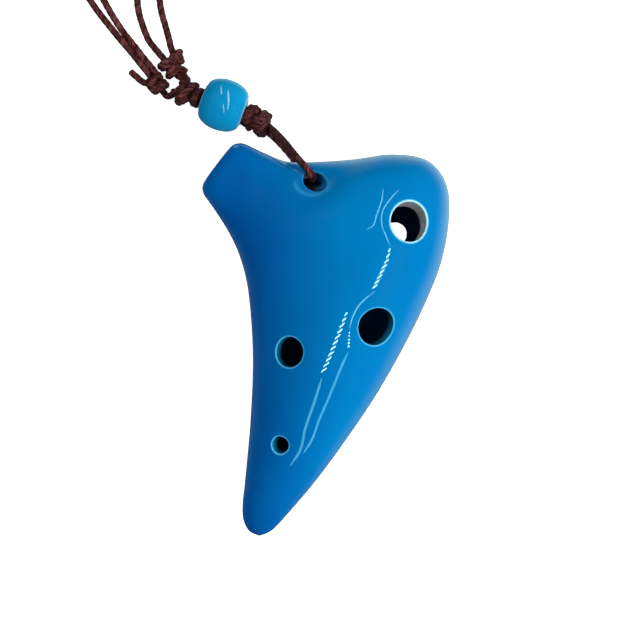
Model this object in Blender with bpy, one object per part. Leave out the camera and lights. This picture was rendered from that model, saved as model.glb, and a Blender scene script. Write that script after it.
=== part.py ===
"""Six-hole ceramic ocarina with a beaded, adjustable neck cord.

The body lies face up with its tail towards -Y. It is two pressed shells, luted at a level seam round a
fipple block, with a windway from the mouth end to a voicing window on the back. One doubled cord hangs it:
strap hole, knot, bead, knot, then two neck cords that each run through a sliding knot to a coil and back.
Sizes are in millimetres in the constants and become metres as each mesh is made.
"""

import math

import bmesh
import bpy
import numpy as np
from mathutils import Vector

MM = 0.001
GAP = 0.3  # between pieces that touch on the real object

# Body: each row is one cut across it, from behind the mouth end round to the tail. A row holds the left
# edge x, y, the right edge x, y, the half thickness in front and behind, how far the crown sits towards the
# right edge (share of half the width), and the fullness of the outline (2 is an ellipse).
SECTIONS = (
    (-28.7, 33.9, -18.9, 46.8, 6.4, 6.4, 0.00, 2.6),
    (-26.2, 30.3, -15.1, 45.0, 7.0, 7.0, 0.00, 2.5),
    (-23.5, 26.0, -9.4, 42.8, 8.6, 8.4, 0.00, 2.4),
    (-21.3, 21.5, -2.4, 42.7, 11.0, 10.6, 0.02, 2.25),
    (-19.8, 17.0, 6.6, 43.3, 13.6, 13.2, 0.05, 2.1),
    (-18.8, 12.3, 16.1, 44.5, 15.6, 15.4, 0.12, 2.05),
    (-18.2, 7.0, 24.3, 43.1, 16.7, 16.8, 0.18, 2.0),
    (-17.8, 1.5, 28.8, 37.7, 17.0, 17.3, 0.20, 2.0),
    (-17.6, -4.5, 29.6, 29.5, 17.0, 17.4, 0.16, 2.0),
    (-17.7, -10.5, 27.8, 18.9, 16.4, 16.8, 0.12, 2.0),
    (-18.0, -16.5, 23.8, 8.6, 15.2, 15.4, 0.08, 2.0),
    (-18.4, -22.5, 18.5, -2.1, 13.5, 13.6, 0.05, 2.0),
    (-19.0, -29.0, 12.1, -13.3, 11.4, 11.4, 0.03, 2.0),
    (-19.6, -35.0, 5.1, -23.7, 9.2, 9.2, 0.00, 2.0),
    (-20.1, -39.8, -2.1, -33.5, 6.9, 6.9, 0.00, 2.0),
    (-19.9, -43.2, -8.4, -41.0, 4.6, 4.6, 0.00, 2.0),
    (-18.5, -46.0, -12.9, -45.8, 2.2, 2.2, 0.00, 2.0),
    (-16.0, -47.2, -16.0, -47.2, 0.0, 0.0, 0.00, 2.0),
)
SEAM_Z = 16.2
BACK_CROWN = 0.05  # share of the crown's offset that the belly has
MOUTH_ROUND = 2.2  # rounding where the sides meet the mouth end
MOUTH_REACH = 2.8  # from the first row to the mouth end
MOUTH_TAPER = 0.5  # how much narrower each side is at the mouth end than at the first row
OUTER_RINGS, OUTER_POINTS, ROUND_RINGS = 46, 40, 4

# Chamber
WALL = 3.9
WALL_AT_STRAP = 8.5  # extra wall between the chamber and the strap hole
CHAMBER_START, CHAMBER_END = 3.35, 14.1
CHAMBER_RINGS, CHAMBER_POINTS = 24, 28

# Windway: a flat slot from the mouth end, narrowing and dropping towards the back
MOUTH = Vector((-25.95, 41.05, 14.4))
WINDWAY_RUN = Vector((0.80, -0.60, 0.0))
WINDWAY_SIDE = Vector((0.60, 0.80, 0.0))
WINDWAY_LENGTH, WINDWAY_DROP = 19.5, 6.8
WINDWAY_WIDTHS, WINDWAY_HEIGHTS = (9.2, 8.2), (1.7, 1.3)
BLOCK_SETBACK = 3.2  # solid clay left at the mouth end
BLOCK_TOP_START, BLOCK_TOP_END = 20.0, 22.6
WINDOW_LENGTH, RAMP_LENGTH = 5.0, 9.5

# Holes: centre x, y, z at the surface, radius, and the lean of the axis outwards in x and y
FINGER_HOLES = (
    (19.6, 27.8, 31.6, 4.50, 0.40, 0.26),
    (11.9, 3.1, 30.9, 4.50, 0.40, -0.20),
    (-8.7, -2.8, 28.4, 3.60, -0.32, 0.00),
    (-10.9, -24.8, 26.1, 2.05, -0.34, -0.12),
)
HOLE_DEPTH = 9.0  # how far a hole's cutter reaches in from the surface
THUMB_HOLES = ((17.1, 25.9, 2.5, 3.0, 0.08, 0.06), (-8.6, 9.6, 4.0, 3.1, -0.20, 0.08))
STRAP_HOLE = (-2.7, 37.4, 24.7, 2.45, 0.30, 0.0)
STRAP_TAPER, STRAP_DEPTH = 1.1, 24.0  # the strap hole narrows by the taper over the depth
DIMPLE_DEPTH, DIMPLE_RADII = 2.4, (5.2, 4.6)

# Cord, bead and knots
CORD = 1.6
SIDES_STEP = 2  # bevel resolution of a cord tube
BEAD_CENTRE = Vector((-25.1, 57.4, 6.4))
BEAD_TURN = math.radians(-21.0)
BEAD_RADIUS, BEAD_LENGTH, BEAD_BORE, BEAD_END_RADIUS = 6.35, 10.4, 2.05, 3.5
BEAD_PLAY = 0.5  # room between each end of the bead and its knot, beyond the gap
SLIDING_BORE = 1.1
LOWER_KNOT, LOWER_KNOT_RUN = Vector((-16.7, 53.55, 6.95)), Vector((0.83, -0.53, 0.17))
UPPER_KNOT, UPPER_KNOT_RUN = Vector((-33.55, 60.05, 6.0)), Vector((0.94, -0.34, 0.05))
FIXED_KNOT_LENGTHS, FIXED_KNOT_RADII = (6.0, 5.6), (3.5, 3.3)
LEFT_KNOT, LEFT_RUN = Vector((-41.8, 63.1, 2.7)), Vector((-0.627, 0.779, 0.0))
RIGHT_KNOT, RIGHT_RUN = Vector((-38.5, 67.3, 2.7)), Vector((-0.634, 0.773, 0.0))
SLIDING_KNOT_LENGTH, SLIDING_KNOT_RADIUS = 5.0, 2.5
RIGHT_LOBE, LOBE_RADIUS = Vector((-36.65, 69.55, 2.8)), 1.55

# Coil of the cord's put-away length, and its tie
COIL_CENTRE = Vector((-51.3, 101.5, 0.0))
COIL_RADIUS, COIL_COLUMNS, COIL_LAYERS, COIL_LIFT = 9.2, 5, 4, 0.9
TIE_THICKNESS, TIE_WIDTH, TIE_CLEARANCE = 0.5, 3.0, 0.5


def smooth_value(rows, t):
    """Value at row number t on a smooth curve through the rows."""
    rows = np.asarray(rows, float)
    i = max(0, min(int(t), len(rows) - 2))
    u = t - i
    a, b = rows[i], rows[i + 1]
    before = rows[i - 1] if i > 0 else 2 * a - b
    after = rows[i + 2] if i + 2 < len(rows) else 2 * b - a
    m0, m1 = (b - before) / 2, (after - a) / 2
    return ((2 * u**3 - 3 * u**2 + 1) * a + (u**3 - 2 * u**2 + u) * m0
            + (3 * u**2 - 2 * u**3) * b + (u**3 - u**2) * m1)


def signed_power(value, exponent):
    return math.copysign(abs(value) ** exponent, value)


def dimple(x, y):
    """How far the surface sinks round the strap hole."""
    dx, dy = (x - STRAP_HOLE[0]) / DIMPLE_RADII[0], (y - STRAP_HOLE[1]) / DIMPLE_RADII[1]
    return DIMPLE_DEPTH * math.exp(-dx * dx - dy * dy)


def body_ring(t, points, inset=0.0, strap_inset=0.0, shift=Vector((0, 0, 0)), sunk=True):
    """One ring of points round the body at section t, drawn in by inset, in millimetres."""
    lx, ly, rx, ry, front, back, crown, full = smooth_value(SECTIONS, t)
    left, right = Vector((lx, ly, SEAM_Z)), Vector((rx, ry, SEAM_Z))
    across = (right - left).normalized()
    left, right = left + across * inset, right - across * (inset + strap_inset)
    middle, half = (left + right) / 2, (right - left) / 2
    ring = []
    for k in range(points):
        angle = math.tau * k / points
        u = signed_power(math.cos(angle), 2 / full)
        v = signed_power(math.sin(angle), 2 / full)
        bias = crown if v > 0 else crown * BACK_CROWN
        p = middle + half * (u + bias * (1 - u * u)) + shift
        p.z += v * ((front if v > 0 else back) - inset)
        if sunk:
            p.z -= math.copysign(dimple(p.x, p.y), v) if abs(v) > 0.2 else 0.0
        ring.append(p)
    return ring


def mouth_rings():
    """Rings that round the sides over into the flat mouth end, from the end inwards."""
    rings = []
    for k in range(ROUND_RINGS):
        angle = math.pi / 2 * (1 - k / ROUND_RINGS)
        out = MOUTH_REACH * math.sin(angle)
        inset = MOUTH_ROUND * (1 - math.cos(angle)) + MOUTH_TAPER * math.sin(angle)
        rings.append(body_ring(0, OUTER_POINTS, inset=inset, shift=-WINDWAY_RUN * out))
    return rings


def loft(name, rings, tip=None):
    """Closed mesh through rings of points, with a flat first end and a flat or pointed last one."""
    bm = bmesh.new()
    loops = [[bm.verts.new(p * MM) for p in ring] for ring in rings]
    for a, b in zip(loops, loops[1:]):
        for k in range(len(a)):
            bm.faces.new((a[k - 1], a[k], b[k], b[k - 1]))
    bm.faces.new(list(reversed(loops[0])))
    if tip is None:
        bm.faces.new(loops[-1])
    else:
        point = bm.verts.new(tip * MM)
        last = loops[-1]
        for k in range(len(last)):
            bm.faces.new((last[k - 1], last[k], point))
    bmesh.ops.recalc_face_normals(bm, faces=bm.faces)
    return add_object(name, bm)


def add_object(name, bm):
    mesh = bpy.data.meshes.new(name)
    bm.to_mesh(mesh)
    bm.free()
    obj = bpy.data.objects.new(name, mesh)
    bpy.context.collection.objects.link(obj)
    return obj


def outer_body(name):
    last = len(SECTIONS) - 1
    rows = [last * k / OUTER_RINGS for k in range(OUTER_RINGS)]
    rows.append(last - 0.12)
    rings = mouth_rings() + [body_ring(t, OUTER_POINTS) for t in rows]
    tip = Vector((SECTIONS[-1][0], SECTIONS[-1][1], SEAM_Z))
    return loft(name, rings, tip)


def chamber():
    rings = []
    for k in range(CHAMBER_RINGS + 1):
        t = CHAMBER_START + (CHAMBER_END - CHAMBER_START) * k / CHAMBER_RINGS
        strap = WALL_AT_STRAP * math.exp(-(((t - 3.5) / 1.15) ** 2))
        rings.append(body_ring(t, CHAMBER_POINTS, inset=WALL, strap_inset=strap, sunk=False))
    return as_cutter(loft("chamber_core", rings))


def as_cutter(obj):
    obj.hide_render = True
    obj.display_type = "WIRE"
    return obj


def wedge(name, start, end):
    """Closed six-sided block between two four-cornered ends."""
    bm = bmesh.new()
    a = [bm.verts.new(p * MM) for p in start]
    b = [bm.verts.new(p * MM) for p in end]
    bm.faces.new(a)
    bm.faces.new(b)
    for k in range(4):
        bm.faces.new((a[k - 1], a[k], b[k], b[k - 1]))
    bmesh.ops.recalc_face_normals(bm, faces=bm.faces)
    return add_object(name, bm)


def along_windway(distance, side, z):
    """Point at a distance from the mouth end along the windway and to one side of it."""
    p = MOUTH + WINDWAY_RUN * distance + WINDWAY_SIDE * side
    return Vector((p.x, p.y, z))


def windway_floor(distance):
    """Height of the windway's middle at a distance from the mouth end."""
    return MOUTH.z - WINDWAY_DROP * distance / WINDWAY_LENGTH


def windway_size(distance):
    share = distance / WINDWAY_LENGTH
    width = WINDWAY_WIDTHS[0] + (WINDWAY_WIDTHS[1] - WINDWAY_WIDTHS[0]) * share
    height = WINDWAY_HEIGHTS[0] + (WINDWAY_HEIGHTS[1] - WINDWAY_HEIGHTS[0]) * share
    return width, height


def corners(distance, half_width, low, high):
    return [along_windway(distance, s * half_width, z)
            for s, z in ((-1, low), (1, low), (1, high), (-1, high))]


def windway_slot():
    ends = []
    for distance in (-2.0, WINDWAY_LENGTH):
        width, height = windway_size(distance)
        z = windway_floor(distance)
        ends.append(corners(distance, width / 2, z - height / 2, z + height / 2 + 0.1))
    return as_cutter(wedge("windway_slot", *ends))


def block_shape(name, clearance):
    """The fipple block, or with no clearance the pocket it sits in, above the windway's roof."""
    ends = []
    spans = ((BLOCK_SETBACK + clearance, BLOCK_TOP_START), (WINDWAY_LENGTH - clearance, BLOCK_TOP_END))
    for distance, top in spans:
        width, height = windway_size(distance)
        roof = windway_floor(distance) + height / 2
        half = width / 2 + 0.6 - clearance
        ends.append(corners(distance, half, roof + clearance, top - clearance))
    return wedge(name, *ends)


def window_and_ramp():
    """Cutters for the voicing window and for the ramp that makes the labium's edge."""
    width = WINDWAY_WIDTHS[1] / 2
    low, high = -4.0, windway_floor(WINDWAY_LENGTH) + 2.0
    far = WINDWAY_LENGTH + WINDOW_LENGTH
    edge_z = windway_floor(far)  # the air jet meets the labium's edge in line with the windway
    window = wedge("window_cutter",
                   corners(WINDWAY_LENGTH - 0.4, width, low, high),
                   corners(far, width, low, high))
    ramp = wedge("ramp_cutter",
                 corners(far - 0.7, width - 0.3, low, edge_z),
                 corners(far + RAMP_LENGTH, width + 0.3, low, -0.3))
    return [as_cutter(window), as_cutter(ramp)]


def drill(name, hole, depth, taper=0.0, sides=28):
    """Round cutter along the hole's leaning axis, narrower by the taper at its inner end."""
    x, y, z, radius, lean_x, lean_y = hole
    outward = Vector((lean_x, lean_y, 1 if z > SEAM_Z else -1)).to_track_quat("Z", "Y")
    above = 8.0
    widening = taper * above / depth
    bm = bmesh.new()
    bmesh.ops.create_cone(bm, cap_ends=True, segments=sides, radius1=(radius - taper) * MM,
                          radius2=(radius + widening) * MM, depth=(depth + above) * MM)
    for v in bm.verts:
        v.co.z += (above - depth) / 2 * MM
        v.co = outward @ v.co + Vector((x, y, z)) * MM
    return as_cutter(add_object(name, bm))


def box(name, low, high):
    bm = bmesh.new()
    bmesh.ops.create_cube(bm, size=1)
    low, high = Vector(low), Vector(high)
    for v in bm.verts:
        v.co = Vector([(low[i] + (v.co[i] + 0.5) * (high[i] - low[i])) * MM for i in range(3)])
    return as_cutter(add_object(name, bm))


def boolean(obj, cutter, operation="DIFFERENCE"):
    modifier = obj.modifiers.new(cutter.name, "BOOLEAN")
    modifier.solver = "EXACT"
    modifier.operation = operation
    modifier.object = cutter


def paint(obj, name, colour, roughness, coat=0.0):
    material = bpy.data.materials.get(name) or bpy.data.materials.new(name)
    material.use_nodes = True
    shader = material.node_tree.nodes["Principled BSDF"]
    shader.inputs["Base Color"].default_value = (*colour, 1.0)
    shader.inputs["Roughness"].default_value = roughness
    shader.inputs["Metallic"].default_value = 0.0
    shader.inputs["Coat Weight"].default_value = coat
    obj.data.materials.append(material)


def glaze(obj):
    paint(obj, "blue_glaze", (0.003, 0.147, 0.479), 0.12, 0.5)


def body_shells():
    """The front and back shells, with every hole and hollow cut in them."""
    front, back = outer_body("front_shell"), outer_body("back_shell")
    core = chamber()
    pocket = as_cutter(block_shape("block_pocket", 0.0))
    strap = drill("strap_hole", STRAP_HOLE, STRAP_DEPTH, STRAP_TAPER, sides=24)
    upper = box("upper_half", (-60, -60, SEAM_Z + GAP / 2), (60, 60, 50))
    lower = box("lower_half", (-60, -60, 0), (60, 60, SEAM_Z - GAP / 2))
    for shell in (front, back):
        for cutter in (core, pocket, strap):
            boolean(shell, cutter)
    for i, hole in enumerate(FINGER_HOLES):
        boolean(front, drill(f"finger_hole_{i}", hole, HOLE_DEPTH))
    for i, hole in enumerate(THUMB_HOLES):
        boolean(back, drill(f"thumb_hole_{i}", hole, HOLE_DEPTH))
    for cutter in [windway_slot()] + window_and_ramp():
        boolean(back, cutter)
    boolean(front, upper, "INTERSECT")
    boolean(back, lower, "INTERSECT")
    for shell in (front, back):
        glaze(shell)


def fipple_block():
    block = block_shape("fipple_block", GAP)
    paint(block, "bare_clay", (0.62, 0.60, 0.55), 0.8)


def turned(name, outline, bore, segments, place, direction):
    """Solid of revolution from (radius, distance) points, round its own Z axis, laid along a direction."""
    bm = bmesh.new()
    profile = [(bore, outline[0][1])] + list(outline) + [(bore, outline[-1][1])]
    loops = []
    for radius, along in profile:
        loops.append([bm.verts.new(Vector((radius * math.cos(a), radius * math.sin(a), along)) * MM)
                      for a in (math.tau * k / segments for k in range(segments))])
    for a, b in zip(loops, loops[1:] + loops[:1]):
        for k in range(segments):
            bm.faces.new((a[k - 1], a[k], b[k], b[k - 1]))
    bmesh.ops.recalc_face_normals(bm, faces=bm.faces)
    obj = add_object(name, bm)
    obj.location = place * MM
    obj.rotation_mode = "QUATERNION"
    obj.rotation_quaternion = direction.to_track_quat("Z", "Y")
    return obj


def bead():
    axis = Vector((math.cos(BEAD_TURN), math.sin(BEAD_TURN), 0))
    outline = []
    steps = 12
    for k in range(steps + 1):
        share = -1 + 2 * k / steps
        bulge = (1 - share * share) ** 0.5
        outline.append((BEAD_END_RADIUS + (BEAD_RADIUS - BEAD_END_RADIUS) * bulge, share * BEAD_LENGTH / 2))
    obj = turned("cord_bead", outline, BEAD_BORE, 32, BEAD_CENTRE, axis)
    paint(obj, "sky_glaze", (0.01, 0.33, 0.66), 0.12, 0.5)
    return axis


def dark_cord(obj):
    paint(obj, "waxed_cord", (0.085, 0.028, 0.026), 0.55)


def lobed_outline(length, radius, lobes=3, steps=12):
    """Outline of a wrapped knot: rounded ends and one swelling for each wrap."""
    points = []
    for k in range(steps + 1):
        share = -1 + 2 * k / steps
        swell = 0.8 + 0.2 * abs(math.sin(math.pi * lobes * (share + 1) / 2))
        points.append((radius * swell * (1 - 0.45 * share**4), share * length / 2))
    return points


def fixed_knot(name, centre, direction, length, radius):
    """A knot tied in the cord itself: a solid lobed lump."""
    bm = bmesh.new()
    segments = 20
    loops = [[bm.verts.new(Vector((r * math.cos(a), r * math.sin(a), d)) * MM)
              for a in (math.tau * k / segments for k in range(segments))]
             for r, d in lobed_outline(length, radius)]
    for a, b in zip(loops, loops[1:]):
        for k in range(segments):
            bm.faces.new((a[k - 1], a[k], b[k], b[k - 1]))
    bm.faces.new(loops[0])
    bm.faces.new(loops[-1])
    bmesh.ops.recalc_face_normals(bm, faces=bm.faces)
    obj = add_object(name, bm)
    obj.location = centre * MM
    obj.rotation_mode = "QUATERNION"
    obj.rotation_quaternion = direction.to_track_quat("Z", "Y")
    dark_cord(obj)


def sliding_knot(name, centre, run):
    """A knot tied round the neck cord, which runs through its bore."""
    outline = lobed_outline(SLIDING_KNOT_LENGTH, SLIDING_KNOT_RADIUS)
    knot = turned(name, outline, SLIDING_BORE, 20, centre, run)
    dark_cord(knot)
    return knot


def add_lobe(knot, place, radius):
    """Swelling where the returning strand is tied into a knot."""
    bm = bmesh.new()
    bmesh.ops.create_uvsphere(bm, u_segments=16, v_segments=10, radius=radius * MM)
    for v in bm.verts:
        v.co += place * MM
    boolean(knot, as_cutter(add_object("knot_lobe", bm)), "UNION")


def tube(name, route, step=2.6):
    """Cord along a smooth curve through the route's points."""
    fine = [Vector(smooth_value(route, t)) for t in np.linspace(0, len(route) - 1, 40 * len(route))]
    lengths = np.cumsum([0.0] + [(b - a).length for a, b in zip(fine, fine[1:])])
    count = max(3, round(lengths[-1] / (step * CORD)) + 1)
    curve = bpy.data.curves.new(name, "CURVE")
    curve.dimensions = "3D"
    curve.bevel_depth = CORD / 2 * MM
    curve.bevel_resolution = SIDES_STEP
    curve.use_fill_caps = True
    spline = curve.splines.new("POLY")
    spline.points.add(count - 1)
    for point, distance in zip(spline.points, np.linspace(0, lengths[-1], count)):
        i = int(np.searchsorted(lengths, distance).clip(1, len(fine) - 1))
        share = (distance - lengths[i - 1]) / (lengths[i] - lengths[i - 1])
        point.co = (*(fine[i - 1].lerp(fine[i], float(share)) * MM), 1.0)
    obj = bpy.data.objects.new(name, curve)
    bpy.context.collection.objects.link(obj)
    dark_cord(obj)


# Routes of the cords, each a list of points chosen by hand, in millimetres.
HANGER_ROUTE = (
    (-13.1, 51.6, 8.3), (-11.6, 49.8, 11.0), (-9.8, 47.4, 15.2), (-7.9, 44.7, 20.0), (-5.9, 42.1, 23.7),
    (-3.85, 39.65, 25.1), (-3.15, 38.15, 23.0), (-4.3, 37.7, 18.6), (-5.9, 37.45, 13.5), (-7.15, 37.4, 9.2),
    (-7.6, 38.4, 6.7), (-7.8, 41.0, 5.9), (-7.8, 43.8, 6.0), (-10.2, 46.6, 6.2), (-12.4, 48.7, 6.5),
    (-14.4, 50.3, 6.9),
)
LEFT_NECK_ROUTE = (
    (-37.2, 61.0, 5.3), (-37.7, 60.35, 4.3), (-38.5, 59.95, 3.3), (-39.3, 60.1, 2.8), (-39.92, 60.76, 2.7),
    (-40.55, 61.54, 2.7), (-41.8, 63.1, 2.7), (-43.68, 65.44, 2.7), (-46.19, 68.55, 2.7), (-48.39, 71.29, 2.7),
    (-50.9, 74.2, 2.0), (-53.8, 77.8, 1.0), (-56.9, 81.8, 0.85), (-59.8, 86.3, 0.85),
    (-61.9, 90.8, 1.3), (-63.05, 93.6, 1.6),
)
RIGHT_NECK_ROUTE = (
    (-35.45, 62.9, 4.4), (-35.15, 63.8, 3.3), (-35.8, 64.6, 2.75), (-36.98, 65.45, 2.7), (-38.5, 67.3, 2.7),
    (-40.4, 69.62, 2.7), (-43.26, 73.1, 2.7), (-44.25, 74.9, 2.3), (-45.35, 77.7, 1.2),
    (-46.3, 80.9, 0.85), (-46.7, 84.4, 0.9), (-46.2, 87.6, 1.6),
)
LEFT_RETURN_ROUTE = (
    (-42.3, 66.6, 2.7), (-44.5, 69.4, 2.7), (-46.7, 72.15, 2.4), (-49.45, 75.7, 1.4), (-52.1, 79.4, 0.9),
    (-54.6, 83.2, 0.9), (-56.6, 87.0, 1.6), (-57.4, 88.6, 2.0),
)
RIGHT_RETURN_ROUTE = (
    (-38.15, 71.75, 2.7), (-38.75, 74.1, 2.1), (-39.7, 77.5, 1.0), (-40.75, 81.3, 0.85), (-41.2, 85.3, 0.9),
    (-40.7, 89.0, 1.3), (-40.2, 92.0, 1.7),
)
LEFT_TAIL_ROUTE = ((-45.3, 63.5, 1.7), (-46.6, 64.7, 1.3), (-48.0, 65.9, 1.0))
RIGHT_TAIL_ROUTE = ((-35.45, 66.6, 2.6), (-35.0, 66.4, 2.5), (-34.5, 66.05, 2.3))


def bead_cords(axis):
    """The two strands side by side in the bead's bore."""
    half = BEAD_LENGTH / 2 + BEAD_PLAY - GAP
    for name, side in (("left_cord_in_bead", 1), ("right_cord_in_bead", -1)):
        offset = Vector((0, 0, side * (CORD + GAP) / 2))
        ends = (-half, 0.0, half)
        tube(name, [BEAD_CENTRE + axis * d + offset for d in ends])


def coil():
    """Turned ring with the outer shape of the wound neck cords."""
    half = COIL_COLUMNS * CORD / 2
    low, high = COIL_LIFT, COIL_LIFT + COIL_LAYERS * CORD
    corner = 1.0
    inner, outer = COIL_RADIUS - half, COIL_RADIUS + half
    outline = ((inner + corner, low), (outer - corner, low), (outer, low + corner), (outer, high - corner),
               (outer - corner, high), (inner + corner, high))
    obj = turned("neck_cord_coil", outline, inner, 40, COIL_CENTRE, Vector((0, 0, 1)))
    dark_cord(obj)


def coil_tie():
    """Thread band round the coil's far side."""
    half = COIL_COLUMNS * CORD / 2 + TIE_CLEARANCE
    low, high = COIL_LIFT - GAP, COIL_LIFT + COIL_LAYERS * CORD + GAP
    inner = ((-half, low), (half, low), (half, high), (-half, high))
    t = TIE_THICKNESS
    outer = ((-half - t, low - t), (half + t, low - t), (half + t, high + t), (-half - t, high + t))
    bm = bmesh.new()
    loops = []
    for side in (-1, 1):
        for shape in (inner, outer):
            loops.append([bm.verts.new((COIL_CENTRE + Vector((side * TIE_WIDTH / 2, COIL_RADIUS + y, z))) * MM)
                          for y, z in shape])
    inner_a, outer_a, inner_b, outer_b = loops
    for a, b in ((inner_a, outer_a), (outer_a, outer_b), (outer_b, inner_b), (inner_b, inner_a)):
        for k in range(4):
            bm.faces.new((a[k - 1], a[k], b[k], b[k - 1]))
    bmesh.ops.recalc_face_normals(bm, faces=bm.faces)
    paint(add_object("coil_tie", bm), "thread", (0.02, 0.012, 0.012), 0.7)


def shade_round():
    for obj in bpy.context.collection.objects:
        if obj.type == "MESH" and not obj.hide_render:
            obj.data.shade_smooth()
            obj.data.set_sharp_from_angle(angle=math.radians(40))


def main():
    for obj in list(bpy.data.objects):
        bpy.data.objects.remove(obj, do_unlink=True)
    body_shells()
    fipple_block()
    axis = bead()
    bead_cords(axis)
    fixed_knot("lower_bead_knot", LOWER_KNOT, LOWER_KNOT_RUN, FIXED_KNOT_LENGTHS[0], FIXED_KNOT_RADII[0])
    fixed_knot("upper_bead_knot", UPPER_KNOT, UPPER_KNOT_RUN, FIXED_KNOT_LENGTHS[1], FIXED_KNOT_RADII[1])
    sliding_knot("left_sliding_knot", LEFT_KNOT, LEFT_RUN)
    add_lobe(sliding_knot("right_sliding_knot", RIGHT_KNOT, RIGHT_RUN), RIGHT_LOBE, LOBE_RADIUS)
    tube("hanger_cord", HANGER_ROUTE, step=2.2)
    tube("left_neck_cord", LEFT_NECK_ROUTE, step=2.0)
    tube("right_neck_cord", RIGHT_NECK_ROUTE, step=2.0)
    tube("left_return_cord", LEFT_RETURN_ROUTE)
    tube("right_return_cord", RIGHT_RETURN_ROUTE)
    tube("left_knot_tail", LEFT_TAIL_ROUTE)
    tube("right_knot_tail", RIGHT_TAIL_ROUTE)
    coil()
    coil_tie()
    shade_round()


main()
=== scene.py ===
"""Looks of the glazed ocarina and its beaded neck cord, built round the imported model.

Lengths are millimetres in the frame's own axes, and meshes are made in metres. The glazed body is one smooth
surface with holes opened in it, then parted at the seam. Cords are twisted tubes, and knots are their wraps.
"""

from math import atan2, copysign, cos, exp, hypot, pi, radians, sin, sqrt, tau

import bmesh
import bpy
import numpy as np
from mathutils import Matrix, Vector
from mathutils.bvhtree import BVHTree
from mathutils.interpolate import poly_3d_calc

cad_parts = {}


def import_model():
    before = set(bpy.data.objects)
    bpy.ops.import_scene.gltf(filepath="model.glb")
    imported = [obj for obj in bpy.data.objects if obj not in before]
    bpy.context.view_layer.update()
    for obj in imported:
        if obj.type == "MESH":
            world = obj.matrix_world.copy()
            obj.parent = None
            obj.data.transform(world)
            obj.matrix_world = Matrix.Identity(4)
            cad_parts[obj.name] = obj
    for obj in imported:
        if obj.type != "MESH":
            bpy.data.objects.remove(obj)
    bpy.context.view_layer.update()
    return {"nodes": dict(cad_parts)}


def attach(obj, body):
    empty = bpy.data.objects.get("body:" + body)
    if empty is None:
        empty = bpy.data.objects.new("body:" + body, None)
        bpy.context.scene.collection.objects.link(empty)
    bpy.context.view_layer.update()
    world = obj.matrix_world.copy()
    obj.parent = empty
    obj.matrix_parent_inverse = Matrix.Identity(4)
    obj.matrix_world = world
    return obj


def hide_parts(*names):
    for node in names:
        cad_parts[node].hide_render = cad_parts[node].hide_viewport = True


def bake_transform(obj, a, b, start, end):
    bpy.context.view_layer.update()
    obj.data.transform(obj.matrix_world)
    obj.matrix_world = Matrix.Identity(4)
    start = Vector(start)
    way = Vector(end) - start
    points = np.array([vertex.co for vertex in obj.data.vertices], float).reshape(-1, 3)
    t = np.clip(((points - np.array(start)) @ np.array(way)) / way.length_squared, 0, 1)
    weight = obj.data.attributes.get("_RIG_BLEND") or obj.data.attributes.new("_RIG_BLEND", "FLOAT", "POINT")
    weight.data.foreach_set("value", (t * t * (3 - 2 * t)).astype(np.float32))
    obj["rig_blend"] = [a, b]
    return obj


MM = 0.001

# Body, one cut across it in each row, from the mouth end to the tail: left edge x, y, right edge x, y, half
# thickness in front and behind, shift of the crown to the right (share of half the width), and fullness of
# the outline (2 is an ellipse)
SECTIONS = (
    (-28.7, 33.9, -18.9, 46.8, 6.4, 6.4, 0.00, 2.6),
    (-26.2, 30.3, -15.1, 45.0, 7.0, 7.0, 0.00, 2.5),
    (-23.5, 26.0, -9.4, 42.8, 8.6, 8.4, 0.00, 2.4),
    (-21.3, 21.5, -2.4, 42.7, 11.0, 10.6, 0.02, 2.25),
    (-19.8, 17.0, 6.6, 43.3, 13.6, 13.2, 0.05, 2.1),
    (-18.8, 12.3, 16.1, 44.5, 15.6, 15.4, 0.12, 2.05),
    (-18.2, 7.0, 24.3, 43.1, 16.7, 16.8, 0.18, 2.0),
    (-17.8, 1.5, 28.8, 37.7, 17.0, 17.3, 0.20, 2.0),
    (-17.6, -4.5, 29.6, 29.5, 17.0, 17.4, 0.16, 2.0),
    (-17.7, -10.5, 27.8, 18.9, 16.4, 16.8, 0.12, 2.0),
    (-18.0, -16.5, 23.8, 8.6, 15.2, 15.4, 0.08, 2.0),
    (-18.4, -22.5, 18.5, -2.1, 13.5, 13.6, 0.05, 2.0),
    (-19.0, -29.0, 12.1, -13.3, 11.4, 11.4, 0.03, 2.0),
    (-19.6, -35.0, 5.1, -23.7, 9.2, 9.2, 0.00, 2.0),
    (-20.1, -39.8, -2.1, -33.5, 6.9, 6.9, 0.00, 2.0),
    (-19.9, -43.2, -8.4, -41.0, 4.6, 4.6, 0.00, 2.0),
    (-18.5, -46.0, -12.9, -45.8, 2.2, 2.2, 0.00, 2.0),
    (-16.0, -47.2, -16.0, -47.2, 0.0, 0.0, 0.00, 2.0),
)
SEAM_Z = 16.2
BACK_CROWN = 0.05
REST_ROUND, REST_DROP = 3.0, 0.02  # the belly flattens below this height
MOUTH_ROUND, MOUTH_REACH, MOUTH_TAPER = 2.2, 2.8, 0.5
OUTER_RINGS, OUTER_POINTS, ROUND_RINGS = 136, 168, 9
TIP_RINGS = (0.35, 0.6, 0.8, 0.92)  # shares of the last interval

# Chamber inside the shells
WALL = 3.9
WALL_AT_STRAP, STRAP_SECTION, STRAP_SPREAD = 8.5, 3.5, 1.15
CHAMBER_START, CHAMBER_END = 3.35, 14.1
# The chamber's bareness gives its inner surface dark thin glaze instead of pale clay: painted shade inside
# the chamber.
CHAMBER_RINGS, CHAMBER_POINTS, CHAMBER_SHADE_BARENESS = 64, 80, 0.35

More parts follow.
